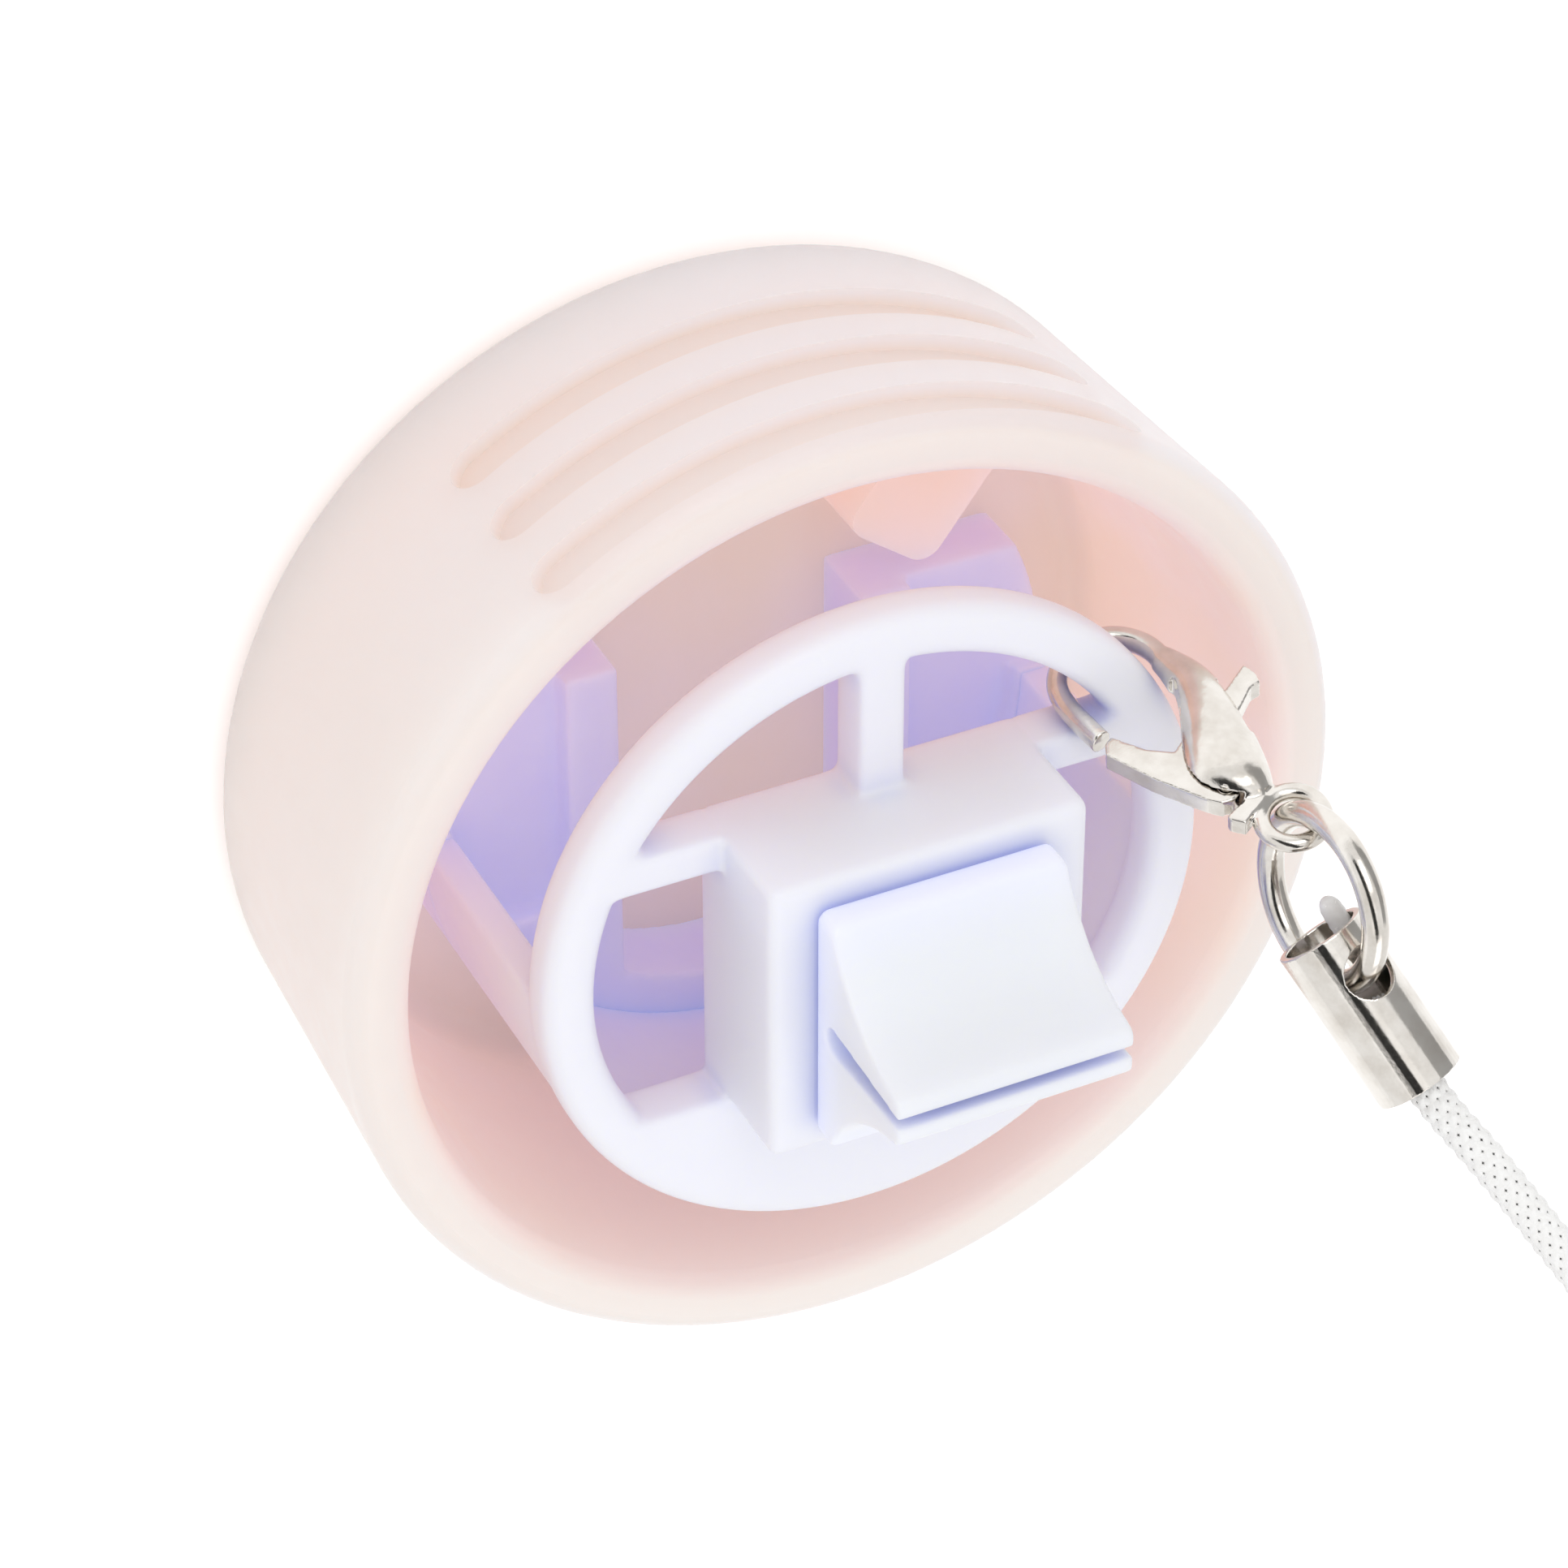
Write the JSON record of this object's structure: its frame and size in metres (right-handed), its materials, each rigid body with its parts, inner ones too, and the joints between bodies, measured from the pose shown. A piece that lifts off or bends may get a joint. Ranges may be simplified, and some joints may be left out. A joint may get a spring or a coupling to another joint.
{
  "type": "wind-up toy",
  "caption": "Round soft cup with a moulded frame inside, a square wind-up movement with a two-leaf key, and a clasped cord hooked on the frame's ring.",
  "frame": {"origin": "centre of the closed end's outer face, on the surface that the toy stands on", "axes": "+Z out of the cup's mouth, along the key's axis; +Y towards the grip grooves; +X along the key's leaves, towards the clasp"},
  "size_m": [0.0465, 0.043, 0.0515],
  "materials": {
    "soft_pink": "matte",
    "lavender_plastic": "satin",
    "nickel": "polished",
    "steel": "satin",
    "brass": "satin",
    "white_cord": "woven"
  },
  "bodies": {
    "housing": {"soft_shell": "soft_pink", "carrier_frame": "lavender_plastic", "rear_bracket": "lavender_plastic", "movement_case": "lavender_plastic", "case_back": "lavender_plastic", "case_screws": "steel", "key_bush": "brass", "mainspring": "steel", "spring_post": "steel"},
    "key": {"winding_key": "lavender_plastic", "key_arbor": "steel", "ratchet_wheel": "steel"},
    "great": {"great_wheel": "brass", "click": "steel", "click_rivet": "brass"},
    "second": {"second_pinion": "steel", "second_wheel": "brass", "second_arbor": "steel"},
    "weight": {"weight_pinion": "steel", "weight_arbor": "steel", "eccentric_weight": "brass"},
    "clasp": {"clasp_body": "nickel", "clasp_pin": "nickel", "clasp_spring": "steel"},
    "lever": {"clasp_lever": "nickel"},
    "jump": {"jump_ring": "nickel"},
    "strap": {"crimp_tube": "nickel", "strap_cord": "white_cord", "cord_tail": "white_cord", "strap_knot": "white_cord"}
  },
  "joints": [
    {"name": "key_turn", "type": "hinge", "parent": "housing", "child": "key", "pos_m": [0, 0, 0.02], "axis": [0, 0, 1], "range_deg": [0, 1170]},
    {"name": "great_turn", "type": "hinge", "parent": "housing", "child": "great", "pos_m": [0, 0, 0.018], "axis": [0, 0, 1], "continuous": true},
    {"name": "second_turn", "type": "hinge", "parent": "housing", "child": "second", "pos_m": [-0.00265, -0.00265, 0.018], "axis": [0, 0, 1], "continuous": true},
    {"name": "weight_turn", "type": "hinge", "parent": "housing", "child": "weight", "pos_m": [0.00019, -0.0036, 0.018], "axis": [0, 0, 1], "continuous": true},
    {"name": "clasp_swing", "type": "hinge", "parent": "housing", "child": "clasp", "pos_m": [0.00999, 0.00726, 0.0162], "axis": [-0.5878, 0.809, 0], "range_deg": [-1, 30]},
    {"name": "lever_open", "type": "hinge", "parent": "clasp", "child": "lever", "pos_m": [0.01112, 0.00585, 0.02254], "axis": [0.1898, -0.9518, -0.2408], "range_deg": [0, 12], "stiffness_Nm_per_rad": 0.0005},
    {"name": "jump_swing", "type": "hinge", "parent": "clasp", "child": "jump", "pos_m": [0.01307, 0.00544, 0.02569], "axis": [0.9194, 0.2583, -0.2965], "range_deg": [-30, 3]},
    {"name": "sleeve_swing", "type": "hinge", "parent": "jump", "child": "strap", "pos_m": [0.01289, 0.00103, 0.02879], "axis": [0.0936, 0.6464, 0.7573], "range_deg": [-25, 25]}
  ],
  "couplings": [
    {"joint": "second_turn", "follows": "great_turn", "ratio": -2.75},
    {"joint": "weight_turn", "follows": "great_turn", "ratio": 5.5}
  ]
}
